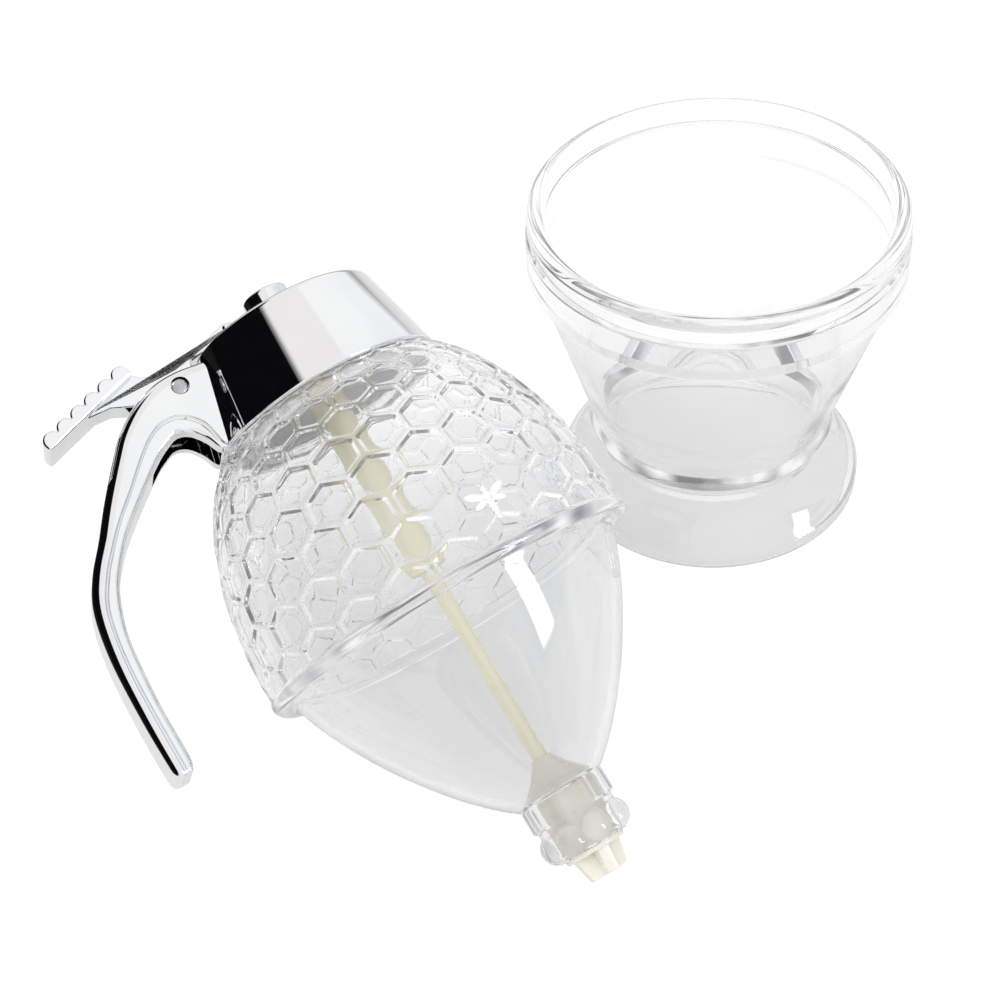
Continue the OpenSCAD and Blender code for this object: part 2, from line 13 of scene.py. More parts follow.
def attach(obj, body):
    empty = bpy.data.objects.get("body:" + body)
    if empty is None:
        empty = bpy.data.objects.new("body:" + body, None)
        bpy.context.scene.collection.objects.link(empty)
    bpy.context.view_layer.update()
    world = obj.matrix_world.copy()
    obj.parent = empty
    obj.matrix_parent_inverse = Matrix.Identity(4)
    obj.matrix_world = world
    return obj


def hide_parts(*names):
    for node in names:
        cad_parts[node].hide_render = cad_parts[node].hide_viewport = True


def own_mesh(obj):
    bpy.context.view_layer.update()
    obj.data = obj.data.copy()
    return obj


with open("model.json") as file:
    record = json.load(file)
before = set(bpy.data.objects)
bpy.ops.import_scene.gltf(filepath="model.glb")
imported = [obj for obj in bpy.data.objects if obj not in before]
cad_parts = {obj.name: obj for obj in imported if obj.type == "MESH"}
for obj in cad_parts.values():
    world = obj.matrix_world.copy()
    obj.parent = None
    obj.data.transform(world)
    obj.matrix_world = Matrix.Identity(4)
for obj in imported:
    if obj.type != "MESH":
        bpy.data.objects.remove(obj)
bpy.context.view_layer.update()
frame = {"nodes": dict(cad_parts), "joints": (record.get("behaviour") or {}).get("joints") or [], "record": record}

MM = 0.001
JOINTS = {j["name"]: j for j in frame["joints"]}
SEAM = np.array(JOINTS["cap_turn"]["pos_m"])
AXIS = np.array(JOINTS["cap_turn"]["axis"], float)
SIDE = np.array(JOINTS["trigger_press"]["axis"], float)
AXIS /= np.linalg.norm(AXIS)
SIDE /= np.linalg.norm(SIDE)
OUT = np.cross(SIDE, AXIS)


def lying(points):
    """Dispenser millimetres to row metres."""
    p = np.asarray(points, float).reshape(-1, 3)
    return SEAM + MM * (p @ np.array([OUT, SIDE, AXIS]))


def standing(points):
    """Stand millimetres to row metres."""
    return MM * np.asarray(points, float).reshape(-1, 3)


# ---- Materials ----

class Nodes:
    """A short way to write a node tree."""

    def __init__(self, tree):
        self.tree = tree
        tree.nodes.clear()

    def add(self, kind, values=None, **settings):
        n = self.tree.nodes.new(kind)
        for key, value in settings.items():
            setattr(n, key, value)
        for key, value in (values or {}).items():
            if hasattr(value, "is_output"):
                self.tree.links.new(value, n.inputs[key])
            else:
                n.inputs[key].default_value = value
        return n

    def math(self, operation, a, b=0.0, clamp=False):
        return self.add("ShaderNodeMath", {0: a, 1: b}, operation=operation,
                        use_clamp=clamp).outputs[0]

    def noise(self, scale, detail=3.0):
        where = self.add("ShaderNodeTexCoord").outputs["Object"]
        return self.add("ShaderNodeTexNoise", {"Vector": where, "Scale": scale,
                                               "Detail": detail}).outputs[0]

    def spread(self, value, low, high, start=0.3, end=0.7):
        """A value from start to end becomes a number from low to high."""
        return self.add("ShaderNodeMapRange", {"Value": value, "From Min": start, "From Max": end,
                                               "To Min": low, "To Max": high}).outputs[0]

    def blend(self, factor, a, b):
        n = self.add("ShaderNodeMix", {0: factor}, data_type="RGBA")
        for socket, value in ((n.inputs[6], a), (n.inputs[7], b)):
            if hasattr(value, "is_output"):
                self.tree.links.new(value, socket)
            else:
                socket.default_value = (*value, 1)
        return n.outputs[2]

    def ramp(self, value, stops):
        """Colours along a value from 0 to 1; the stops rise."""
        n = self.add("ShaderNodeValToRGB", {0: value})
        for i, (place, tone) in enumerate(stops):
            stop = n.color_ramp.elements[i] if i < 2 else n.color_ramp.elements.new(place)
            stop.position, stop.color = place, (*tone, 1)
        return n.outputs[0]

    def mix(self, factor, a, b):
        """Shader a where the factor is 0, and b where it is 1."""
        return self.add("ShaderNodeMixShader", {0: factor, 1: a, 2: b}).outputs[0]

    def path(self):
        return self.add("ShaderNodeLightPath").outputs

    def rays(self):
        """1 for rays mirrored by metal or a skin, and 1 for rays bent through clear plastic."""
        path = self.path()
        through = path["Is Transmission Ray"]
        mirror = self.math("MULTIPLY", path["Is Glossy Ray"],
                           self.math("SUBTRACT", 1.0, through))
        return mirror, through


def grey(level):
    return level, level, level


# Light that is still inside a clear wall after these bounces ends there. The wall then glows a painted pale grey
# in streaks from a noise, in place of the light these paths would pick up.
CAUGHT_RAYS, CAUGHT_GLOSSY = 8.5, 3.5
# Painted glow of caught light: grain and edges of its streaks, then its darkest and lightest grey.
CAUGHT_GLOW_GRAIN, CAUGHT_GLOW_EDGES = 65, (0.38, 0.62)
CAUGHT_GLOW_DARK, CAUGHT_GLOW_LIGHT = (0.24, 0.24, 0.25), (0.95, 0.95, 0.96)
SHADOW_TINT = 0.975


def clear_paths(n, surface):
    """Lets lamps shine through clear plastic, and ends light that is caught inside its walls with a painted glow
    of pale grey streaks.
    """
    see_through = n.add("ShaderNodeBsdfTransparent", {"Color": (*grey(SHADOW_TINT), 1)}).outputs[0]
    glow_streaks = n.spread(n.noise(CAUGHT_GLOW_GRAIN, 2.0), 0.0, 1.0, *CAUGHT_GLOW_EDGES)
    tone = n.blend(glow_streaks, CAUGHT_GLOW_DARK, CAUGHT_GLOW_LIGHT)
    # Painted glow: the wall emits this grey where caught light ends, as if it were lit.
    pale = n.add("ShaderNodeEmission", {"Color": tone}).outputs[0]
    path = n.path()
    caught = n.math("MAXIMUM", n.math("GREATER_THAN", path["Ray Depth"], CAUGHT_RAYS),
                    n.math("GREATER_THAN", path["Glossy Depth"], CAUGHT_GLOSSY))
    return n.mix(path["Is Shadow Ray"], n.mix(caught, surface, pale), see_through)


def material(name, dark, light, rough, grain, bump, clear=False, **shader):
    """A surface whose colour, roughness and small relief vary with a noise of a grain in 1/m.

    rough is the lowest and highest roughness, bump the relief's strength and height in metres.
    """
    mat = bpy.data.materials.new(name)
    mat.use_nodes = True
    n = Nodes(mat.node_tree)
    mottle = n.noise(grain)
    relief = n.add("ShaderNodeBump", {"Height": mottle, "Strength": bump[0], "Distance": bump[1]})
    values = {"Base Color": n.blend(mottle, dark, light),
              "Roughness": n.spread(n.noise(grain * 5, 2.0), *rough),
              "Normal": relief.outputs[0]}
    values.update({key.replace("_", " "): value for key, value in shader.items()})
    surface = n.add("ShaderNodeBsdfPrincipled", values).outputs[0]
    if clear:
        surface = clear_paths(n, surface)
    n.add("ShaderNodeOutputMaterial", {"Surface": surface})
    return mat


# Dark and light colour, roughness, grain, relief and shader values of each slot.
LOOKS = {
    "clear_acrylic": ((0.955, 0.957, 0.96), (0.98, 0.982, 0.985), (0.0, 0.02), 60, (0.04, 0.0006),
                      {"clear": True, "Transmission_Weight": 1.0, "IOR": 1.49}),
    "chrome_plate": ((0.80, 0.81, 0.82), (0.88, 0.885, 0.89), (0.015, 0.05), 90, (0.03, 0.0003),
                     {"Metallic": 1.0}),
    "steel": ((0.42, 0.42, 0.43), (0.60, 0.60, 0.60), (0.22, 0.42), 500, (0.15, 0.0001),
              {"Metallic": 1.0}),
    "ivory_plastic": ((0.88, 0.84, 0.62), (0.92, 0.88, 0.70), (0.14, 0.24), 180, (0.08, 0.0002),
                      {"IOR": 1.5, "Coat_Weight": 0.3}),
    "white_plastic": ((0.84, 0.84, 0.83), (0.92, 0.92, 0.91), (0.35, 0.5), 250, (0.1, 0.0002),
                      {"IOR": 1.5}),
    "silicone": ((0.845, 0.82, 0.72), (0.89, 0.87, 0.785), (0.2, 0.3), 220, (0.03, 0.0003),
                 {"IOR": 1.42}),
}
SLOTS = {slot: material(slot, *look, **shader) for slot, (*look, shader) in LOOKS.items()}
FROST = material("frosted_relief", (0.94, 0.95, 0.96), (0.98, 0.985, 0.99), (0.3, 0.5), 700,
                 (0.1, 0.0001), clear=True, IOR=1.49, Transmission_Weight=0.15)

# Nodes whose CAD shape is right keep it and take a fuller material.
for part in frame["record"]["subparts"]:
    mesh = frame["nodes"][part["node"]].data
    mesh.materials.clear()
    mesh.materials.append(SLOTS[part["material_slot"]])


# ---- Mesh tools ----

def linked(name, data):
    obj = bpy.data.objects.new(name, data)
    bpy.context.scene.collection.objects.link(obj)
    return obj


def closed_mesh(name, verts, faces, place, close=0.0):
    """A mesh from millimetres with its faces turned outwards; points nearer than close are one."""
    mesh = bpy.data.meshes.new(name)
    mesh.from_pydata(place(verts).tolist(), [], [list(map(int, f)) for f in faces])
    bm = bmesh.new()
    bm.from_mesh(mesh)
    if close:
        bmesh.ops.remove_doubles(bm, verts=bm.verts, dist=close * MM)
        bmesh.ops.dissolve_degenerate(bm, edges=bm.edges, dist=close * MM)
    bmesh.ops.recalc_face_normals(bm, faces=bm.faces)
    bm.to_mesh(mesh)
    bm.free()
    return mesh


def shade(mesh, sharp=35):
    """Smooth but for edges sharper than sharp degrees."""
    mesh.polygons.foreach_set("use_smooth", [True] * len(mesh.polygons))
    mesh.set_sharp_from_angle(angle=math.radians(sharp))


def flatten_normals(obj):
    """Flat faces mirror as flat ones, and only their round edges bend the picture."""
    obj.modifiers.new("even", "WEIGHTED_NORMAL").keep_sharp = True


def piece(name, verts, faces, body, slot, nodes=(), mat=None, place=lying, sharp=35, close=1e-4):
    """One mesh object that rides on a body and may replace CAD nodes."""
    mesh = closed_mesh(name, verts, faces, place, close)
    mesh.materials.append(mat or SLOTS[slot])
    shade(mesh, sharp)
    obj = linked(name, mesh)
    if slot == "chrome_plate":
        flatten_normals(obj)
    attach(obj, body)
    if nodes:
        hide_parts(*nodes)
    return obj


def joined(*parts):
    """Several (verts, faces) as one."""
    verts, faces = [], []
    for v, f in parts:
        faces += [[i + len(verts) for i in face] for face in f]
        verts += [tuple(p) for p in v]
    return verts, faces


def turns(count):
    """The angles of count even steps round a circle."""
    return [2 * math.pi * i / count for i in range(count)]


def lathe(profile, around, closed=True):
    """A profile of (radius, height) turned about z."""
    verts, rows = [], []
    for r, z in profile:
        if r < 1e-6:
            rows.append([len(verts)] * around)
            verts.append((0, 0, z))
            continue
        rows.append(list(range(len(verts), len(verts) + around)))
        verts += [(r * math.cos(a), r * math.sin(a), z) for a in turns(around)]
    faces = []
    for j in range(len(rows) if closed else len(rows) - 1):
        a, b = rows[j], rows[(j + 1) % len(rows)]
        for i in range(around):
            k = (i + 1) % around
            face = []
            for v in (a[i], a[k], b[k], b[i]):
                if v not in face:
                    face.append(v)
            if len(face) > 2:
                faces.append(face)
    return verts, faces


NEARLY_STRAIGHT = math.radians(88)


def rounded(points, steps=4):
    """A closed outline of (x, y) or (x, y, r) corners, each with its corner radius r."""
    out, n = [], len(points)
    for i, p in enumerate(points):
        b = np.array(p[:2], float)
        r = p[2] if len(p) > 2 else 0
        if r <= 0:
            out.append(tuple(b))
            continue
        a, c = np.array(points[i - 1][:2], float), np.array(points[(i + 1) % n][:2], float)
        u, v = (a - b) / np.linalg.norm(a - b), (c - b) / np.linalg.norm(c - b)
        half = math.acos(max(-1, min(1, float(u @ v)))) / 2
        if half > NEARLY_STRAIGHT:
            out.append(tuple(b))
            continue
        cut = min(r / math.tan(half), 0.49 * np.linalg.norm(a - b), 0.49 * np.linalg.norm(c - b))
        r = cut * math.tan(half)
        middle = b + (u + v) / np.linalg.norm(u + v) * r / math.sin(half)
        p0, p1 = b + u * cut - middle, b + v * cut - middle
        turn = math.atan2(p0[0] * p1[1] - p0[1] * p1[0], float(p0 @ p1))
        for s in range(steps + 1):
            a = turn * s / steps
            out.append((middle[0] + p0[0] * math.cos(a) - p0[1] * math.sin(a),
                        middle[1] + p0[0] * math.sin(a) + p0[1] * math.cos(a)))
    return out


def bezier(p, count, aside=0.0):
    """Points along a cubic bend, moved to its left by aside."""
    p = np.array(p, float)
    t = np.linspace(0, 1, count)[:, None]
    at = (p[0] * (1 - t) ** 3 + 3 * p[1] * t * (1 - t) ** 2 + 3 * p[2] * t * t * (1 - t)
          + p[3] * t ** 3)
    go = (p[1] - p[0]) * (1 - t) ** 2 + 2 * (p[2] - p[1]) * t * (1 - t) + (p[3] - p[2]) * t * t
    left = np.column_stack([-go[:, 1], go[:, 0]]) / np.linalg.norm(go, axis=1)[:, None]
    return at + aside * left


def smooth_line(p, n):
    """A smooth line through chosen points, n steps from each to the next."""
    p = np.array(p, float)
    out = []
    for i in range(len(p) - 1):
        a, b, c, d = p[max(i - 1, 0)], p[i], p[i + 1], p[min(i + 2, len(p) - 1)]
        for k in range(n):
            t = k / n
            out.append(0.5 * (2 * b + (c - a) * t + (2 * a - 5 * b + 4 * c - d) * t * t
                              + (3 * b - 3 * c + d - a) * t ** 3))
    return np.array(out + [p[-1]])


def even(line, count):
    """count points evenly spaced along a line."""
    line = np.array(line, float)
    s = np.concatenate([[0], np.cumsum(np.linalg.norm(np.diff(line, axis=0), axis=1))])
    t = np.linspace(0, s[-1], count)
    return np.column_stack([np.interp(t, s, line[:, i]) for i in range(line.shape[1])])


def arc(cx, cy, r, a, b, n):
    """Points on a circle from a to b degrees."""
    return [(cx + r * math.cos(math.radians(a + (b - a) * i / n)),
             cy + r * math.sin(math.radians(a + (b - a) * i / n))) for i in range(n + 1)]


def inset(outline, d):
    """A closed outline moved inwards by d, corner by corner."""
    p = np.array(outline, float)
    before, after = p - np.roll(p, 1, 0), np.roll(p, -1, 0) - p
    before /= np.maximum(np.linalg.norm(before, axis=1), 1e-9)[:, None]
    after /= np.maximum(np.linalg.norm(after, axis=1), 1e-9)[:, None]
    x, y = p[:, 0], p[:, 1]
    turn = 1 if (x * np.roll(y, -1) - y * np.roll(x, -1)).sum() > 0 else -1
    n1 = turn * np.column_stack([-before[:, 1], before[:, 0]])
    n2 = turn * np.column_stack([-after[:, 1], after[:, 0]])
    mid = n1 + n2
    mid /= np.maximum(np.linalg.norm(mid, axis=1), 1e-9)[:, None]
    reach = d / np.maximum((mid * n1).sum(1), 0.5)
    return p + mid * reach[:, None]


def plate(outline, half, edge, steps=3):
    """A closed outline in x and z, spread from -half to half in y, with round edges."""
    levels = []
    for i in reversed(range(steps + 1)):
        a = math.radians(90 * i / steps)
        levels.append((-half + edge * (1 - math.sin(a)), edge * (1 - math.cos(a))))
    levels += [(-v, d) for v, d in reversed(levels)]
    verts, rows = [], []
    for v, d in levels:
        ring = inset(outline, d)
        rows.append(range(len(verts), len(verts) + len(ring)))
        verts += [(x, v, z) for x, z in ring]
    n = len(outline)
    faces = [[rows[j][i], rows[j][(i + 1) % n], rows[j + 1][(i + 1) % n], rows[j + 1][i]]
             for j in range(len(rows) - 1) for i in range(n)]
    faces += [list(rows[0]), list(reversed(rows[-1]))]
    return verts, faces


def grid(rows, caps=True):
    """Faces over equal closed rows of points; caps close the first and last row."""
    n = len(rows[0])
    verts = [tuple(p) for row in rows for p in row]
    faces = [[j * n + i, j * n + (i + 1) % n, (j + 1) * n + (i + 1) % n, (j + 1) * n + i]
             for j in range(len(rows) - 1) for i in range(n)]
    if caps:
        faces += [list(range(n)), list(range((len(rows) - 1) * n, len(rows) * n))[::-1]]
    return verts, faces


def cut_away(obj, verts, faces):
    """Takes a closed shape out of a chrome piece's mesh."""
    tool = linked("cutter", closed_mesh("cutter", verts, faces, lying))
    obj.modifiers.clear()
    mod = obj.modifiers.new("cut", "BOOLEAN")
    mod.operation, mod.solver, mod.object = "DIFFERENCE", "EXACT", tool
    bpy.context.view_layer.update()
    evaluated = obj.evaluated_get(bpy.context.evaluated_depsgraph_get())
    done = bpy.data.meshes.new_from_object(evaluated)
    obj.modifiers.clear()
    old, obj.data = obj.data, done
    bpy.data.meshes.remove(old)
    bpy.data.objects.remove(tool)
    shade(done)
    flatten_normals(obj)


# ---- Stand ----

AROUND = 192
STAND_WALL = 2.2
CONE_R, CONE_SLOPE, CONE_MIDDLE = 22.3, 0.3, 40
BAND_Z, BAND_H, BAND_STEP = 65.0, 10.0, 1.9
RIM_Z, RIM_R, RIM_BACK = 79.1, 2.15, 0.3
FLOOR_Z, WAIST_Z = 12.0, 23.0


def cone_r(z):
    return CONE_R + CONE_SLOPE * z


def stand_bowl():
    band = cone_r(BAND_Z) + BAND_STEP
    ring = band - RIM_R - RIM_BACK
    wall = STAND_WALL / math.cos(math.atan(CONE_SLOPE))
    inner = FLOOR_Z + STAND_WALL
    outline = rounded([(0, FLOOR_Z), (cone_r(FLOOR_Z), FLOOR_Z, 1.2),
                       (cone_r(CONE_MIDDLE), CONE_MIDDLE), (cone_r(BAND_Z) + 0.1, BAND_Z, 0.5),
                       (band, BAND_Z + 0.9, 0.7), (band, BAND_Z + BAND_H - 0.3, 0.7),
                       (ring + 1.0, BAND_Z + BAND_H + 0.4, 0.5)], 5)
    outline += arc(ring, RIM_Z, RIM_R, -62, 180, 22)
    outline += rounded([(ring - RIM_R, RIM_Z - 0.5), (ring - RIM_R, RIM_Z - 3, 1.0),
                        (ring - RIM_R + 1, RIM_Z - 5.6, 1.0), (ring - RIM_R + 1, BAND_Z + 2, 1.5),
                        (cone_r(BAND_Z) - wall, BAND_Z - 1.5, 1.0),
                        (cone_r(CONE_MIDDLE) - wall, CONE_MIDDLE),
                        (cone_r(inner) - wall - 0.2, inner, 2.2), (0, inner)], 5)[1:]
    piece("bowl_shell", *lathe(outline, AROUND), "stand", "clear_acrylic", ["stand_bowl"],
          place=standing)


def stand_foot():
    waist = cone_r(WAIST_Z)
    flare = [(waist + 0.2, WAIST_Z), (waist + 0.4, WAIST_Z - 6), (31.7, 9.8), (35.7, 4.8)]
    outer, inner = bezier(flare, 24), bezier(flare, 24, -STAND_WALL)[::-1]
    inner = [p for p in inner if p[0] > cone_r(p[1]) + 0.06]
    top = inner[-1]
    outline = [tuple(p) for p in outer[:-1]]
    outline += rounded([(36.2, 4.5), (36.9, 3.6, 0.9), (36.9, 0, 0.5), (34.7, 0, 0.4),
                        (34.7, 1.8, 0.6), (33.9, 3.4)], 4)
    outline += [tuple(p) for p in inner[1:]]
    outline += [(cone_r(top[1] + 0.3) + 0.05, top[1] + 0.3), (waist + 0.05, WAIST_Z)]
    piece("foot_flare", *lathe(outline, AROUND), "stand", "clear_acrylic", ["stand_foot"],
          place=standing)


# ---- Jar ----

JAR_WALL = 2.0
BEAD_RING, BEAD_R, BEAD_DROP = 40.9, 2.2, 0.4
DOME = [(42.7, 0), (43.4, 20.2), (38.5, 39.39), (26.5, 50.5)]
FUNNEL = [(39.4, 0), (36.0, -14.916), (21.5, -36.5), (9.6, -45.2)]
NECK_R, NECK_IN, NECK_TOP, DOME_TOP = 19.2, 17.0, 63.0, 50.5
SEAM_R = BEAD_RING + math.sqrt(BEAD_R ** 2 - BEAD_DROP ** 2)
SEAM_ANGLE = math.degrees(math.asin(BEAD_DROP / BEAD_R))
SEAM_IN = DOME[0][0] - JAR_WALL

# The honeycomb has 24 cells round, in rows that stay alike as the dome narrows: a row's place is
# psi, the integral of arc length over radius.
CELLS = 24
PITCH = 2 * math.pi / CELLS
ROW_STEP, ROW_START, ROWS = 0.186, 0.021, 9
SQUASH = ROW_STEP / (PITCH * math.sqrt(3) / 2)
RELIEF_FOOT = 0.72
# Share of the way from a cell's middle to its edge, and depth in mm on the widest circle.
CELL_RINGS = [(1.0, 0.0), (0.93, 0.0), (0.905, 0.03), (0.885, 0.09), (0.80, 0.47), (0.78, 0.52),
              (0.75, 0.54), (0.50, 0.54), (0.25, 0.54)]
BEE_AT, BEE_ROW = (90, 105), 1


class Dome:
    """Places (theta, psi, depth) on the dome's outer surface."""

    def __init__(self):
        line = bezier(DOME, 2001)
        step = np.linalg.norm(np.diff(line, axis=0), axis=1)
        r = (line[1:, 0] + line[:-1, 0]) / 2
        self.psi = np.concatenate([[0], np.cumsum(step / r)])
        self.line = line
        go = np.gradient(line, axis=0)
        out = np.column_stack([go[:, 1], -go[:, 0]])
        self.normal = out / np.linalg.norm(go, axis=1)[:, None]

    def at(self, theta, psi, depth, scaled=True):
        theta, psi, depth = (np.asarray(v, float) for v in (theta, psi, depth))
        r, z = (np.interp(psi, self.psi, self.line[:, i]) for i in (0, 1))
        nr, nz = (np.interp(psi, self.psi, self.normal[:, i]) for i in (0, 1))
        d = depth * (r / DOME[0][0] if scaled else 1)
        r, z = r - d * nr, z - d * nz
        return np.column_stack([r * np.cos(theta), r * np.sin(theta), z])

    def psi_of(self, z):
        return float(np.interp(z, self.line[:, 1], self.psi))


def hexagon(steps):
    """Points round a cell with a point towards the axis, from its middle, in radians."""
    tall, low = SQUASH / math.sqrt(3), SQUASH / math.sqrt(12)
    corner = [(0, tall), (0.5, low), (0.5, -low), (0, -tall), (-0.5, -low), (-0.5, low)]
    out = []
    for i in range(6):
        a, b = np.array(corner[i]), np.array(corner[(i + 1) % 6])
        out += [a + (b - a) * s / steps for s in range(steps)]
    return np.array(out) * PITCH


def honeycomb(low, high):
    """The dome's relief between two psi, laid flat: points (theta, psi, depth), faces, rims."""
    shape = hexagon(4)
    n = len(shape)
    bm = bmesh.new()
    for row in range(ROWS):
        for i in range(CELLS):
            turn = i * PITCH + (0 if row % 2 else PITCH / 2)
            middle = np.array([turn, ROW_START + row * ROW_STEP])
            plain = row == BEE_ROW and round(math.degrees(turn)) in BEE_AT
            rings = []
            for share, depth in CELL_RINGS:
                points = middle + share * shape
                rings.append([bm.verts.new((x, y, 0 if plain else depth)) for x, y in points])
            hub = bm.verts.new((*middle, 0 if plain else CELL_RINGS[-1][1]))
            for a, b in zip(rings, rings[1:]):
                for j in range(n):
                    bm.faces.new((a[j], a[(j + 1) % n], b[(j + 1) % n], b[j]))
            for j in range(n):
                bm.faces.new((rings[-1][j], rings[-1][(j + 1) % n], hub))
    for edge, side in ((low, -1), (high, 1)):
        bmesh.ops.bisect_plane(bm, geom=bm.verts[:] + bm.edges[:] + bm.faces[:], dist=1e-7,
                               plane_co=(0, edge, 0), plane_no=(0, side, 0), clear_outer=True)
    bm.verts.index_update()
    flat = np.array([v.co for v in bm.verts])
    faces = [[v.index for v in f.verts] for f in bm.faces]
    rims = []
    for edge in (low, high):
        rims.append([[e.verts[0].index, e.verts[1].index] for e in bm.edges
                     if all(abs(v.co.y - edge) < 1e-6 for v in e.verts)])
    bm.free()
    return flat, faces, rims


def bead_arc(a, b, n):
    return arc(BEAD_RING, -BEAD_DROP, BEAD_R, a, b, n)


def jar_dome(dome):
    """Outer relief, inner wall of the same cells, neck above and half the bead below."""
    low, high = dome.psi_of(RELIEF_FOOT), dome.psi_of(DOME_TOP - 0.05)
    flat, faces, (low_rim, high_rim) = honeycomb(low, high)
    outer = dome.at(flat[:, 0], flat[:, 1], flat[:, 2])
    inner = dome.at(flat[:, 0], flat[:, 1], np.full(len(flat), JAR_WALL), scaled=False)
    parts = [(outer, faces), (inner, [f[::-1] for f in faces])]
    meet = math.degrees(math.asin((RELIEF_FOOT + BEAD_DROP) / BEAD_R))
    bead = bead_arc(meet - 2, SEAM_ANGLE, 6)
    bead[-1] = (SEAM_R, 0)
    neck = [(24.8, DOME_TOP + 0.02), (20.2, DOME_TOP + 0.05)]
    neck += rounded([(20.0, DOME_TOP + 0.1), (NECK_R, DOME_TOP + 0.3, 0.4),
                     (NECK_R, NECK_TOP, 0.5), (NECK_IN, NECK_TOP, 0.5),
                     (NECK_IN, DOME_TOP - JAR_WALL, 0.8),
                     (NECK_IN + 1.5, DOME_TOP - JAR_WALL)], 3)[1:]
    # Strips join the rims of the relief to lathe rows that have the rims' own angles.
    for rim, start, rows, end in ((low_rim, outer, bead, None),
                                  (low_rim, inner, [(SEAM_IN, 0)], None),
                                  (high_rim, outer, neck, inner)):
        for pair in rim:
            angles = [flat[i][0] for i in pair]
            strip = [start[pair]]
            for r, z in rows:
                strip.append(np.array([[r * math.cos(t), r * math.sin(t), z] for t in angles]))
            if end is not None:
                strip.append(end[pair])
            verts = [tuple(p) for row in strip for p in row]
            parts.append((verts, [[2 * s, 2 * s + 1, 2 * s + 3, 2 * s + 2]
                                  for s in range(len(strip) - 1)]))
    verts, faces = joined(*parts)
    piece("dome_shell", verts, faces, "jar", "clear_acrylic", ["jar_dome"], sharp=50, close=2e-3)


def jar_funnel():
    """Lower half of the bead, funnel and its inner wall; open at the bonded ring of the seam."""
    outer, inner = bezier(FUNNEL, 48), bezier(FUNNEL, 48, -JAR_WALL)[::-1]
    end_r, end_z = FUNNEL[-1]
    inner_r = FUNNEL[0][0] - JAR_WALL
    outline = [(SEAM_R, 0)] + bead_arc(SEAM_ANGLE - 4, -144, 16)
    outline += [(39.02, -2.2)] + [tuple(p) for p in outer if p[1] < -2.8]
    outline += [(end_r - 1.2, end_z)]
    outline += [tuple(p) for p in inner if end_z + 0.8 < p[1] < -0.6]
    outline += [(inner_r, -0.3), (inner_r + 0.3, 0), (SEAM_IN, 0)]
    piece("funnel_shell", *lathe(outline, AROUND, closed=False), "jar", "clear_acrylic",
          ["jar_funnel"])


CROWN_N, CROWN_BORE, CROWN_Z = 8, 7.15, -45.2
CROWN_NECK_R, CROWN_CORNER_R, CROWN_NECK_H, CROWN_STEP = 9.9, 9.75, 5.6, 0.25
CROWN_BODY_R, CROWN_FOOT_R, CROWN_FOOT_DROP = 8.8, 7.9, 2.4
LOBE_RING, LOBE_R, LOBE_Z = 7.2, 3.5, -55.0
LOBE_TURN = math.radians(3) + math.pi / 2


def outlet_crown():
    """Eight flats above eight round lobes, as one skin round the bore."""
    angles = turns(CROWN_N * 24)
    half = math.pi / CROWN_N
    neck_low = CROWN_Z - CROWN_NECK_H
    foot = LOBE_Z - LOBE_R
    flat_r = CROWN_NECK_R * math.cos(half)
    heights = np.concatenate([[CROWN_Z], np.linspace(CROWN_Z - 0.5, neck_low + 0.6, 6),
                              np.linspace(neck_low + 0.3, LOBE_Z + LOBE_R, 4),
                              LOBE_Z + LOBE_R * np.cos(np.radians(np.linspace(6, 174, 36))),
                              [foot]])
    rows = []
    for z in heights:
        row = []
        for a in angles:
            # Angles from the middle of the nearest lobe and of the nearest flat.
            off = (a - LOBE_TURN + half) % (2 * half) - half
            flat = (a + half) % (2 * half) - half
            r = CROWN_BODY_R if LOBE_Z - CROWN_FOOT_DROP < z else CROWN_FOOT_R
            if z > neck_low:
                r = max(r, min(flat_r / math.cos(flat), CROWN_CORNER_R))
                if z > CROWN_Z - 0.3 or z < neck_low + 0.4:
                    r -= CROWN_STEP
            reach = LOBE_R ** 2 - (z - LOBE_Z) ** 2 - (LOBE_RING * math.sin(off)) ** 2
            if reach > 0:
                r = max(r, LOBE_RING * math.cos(off) + math.sqrt(reach))
            row.append((r * math.cos(a), r * math.sin(a), z))
        rows.append(row)
    for r, z in ((CROWN_BORE + 0.4, foot), (CROWN_BORE, foot + 0.4),
                 (CROWN_BORE, CROWN_Z - 0.4), (CROWN_BORE + 0.4, CROWN_Z)):
        rows.append([(r * math.cos(a), r * math.sin(a), z) for a in angles])
    rows.append(rows[0])
    piece("crown_lobes", *grid(rows, caps=False), "jar", "clear_acrylic", ["outlet_crown"],
          sharp=28)


BEE_THETA, BEE_PSI, BEE_SIZE = math.radians(97.5), 0.205, 1.25
# Each pebble: place (theta, psi), half length and half width in radians, height in mm, turn.
BEE_BODY = [(0, -0.012 - 0.016 * i, 0.020 * girth, 0.0105, 0.55 * girth, 0)
            for i, girth in enumerate((0.85, 1.0, 0.9, 0.68, 0.42))]
BEE_FRONT = [(0, 0.014, 0.019, 0.020, 0.62, 0), (0, 0.043, 0.0135, 0.0125, 0.5, 0)]
BEE_SIDES = [pebble for side in (-1, 1) for pebble in (
    (side * 0.048, 0.026, 0.040, 0.017, 0.42, side * 0.42),
    (side * 0.040, -0.010, 0.030, 0.013, 0.38, -side * 0.25),
    (side * 0.010, 0.063, 0.0025, 0.010, 0.25, -side * 0.5))]


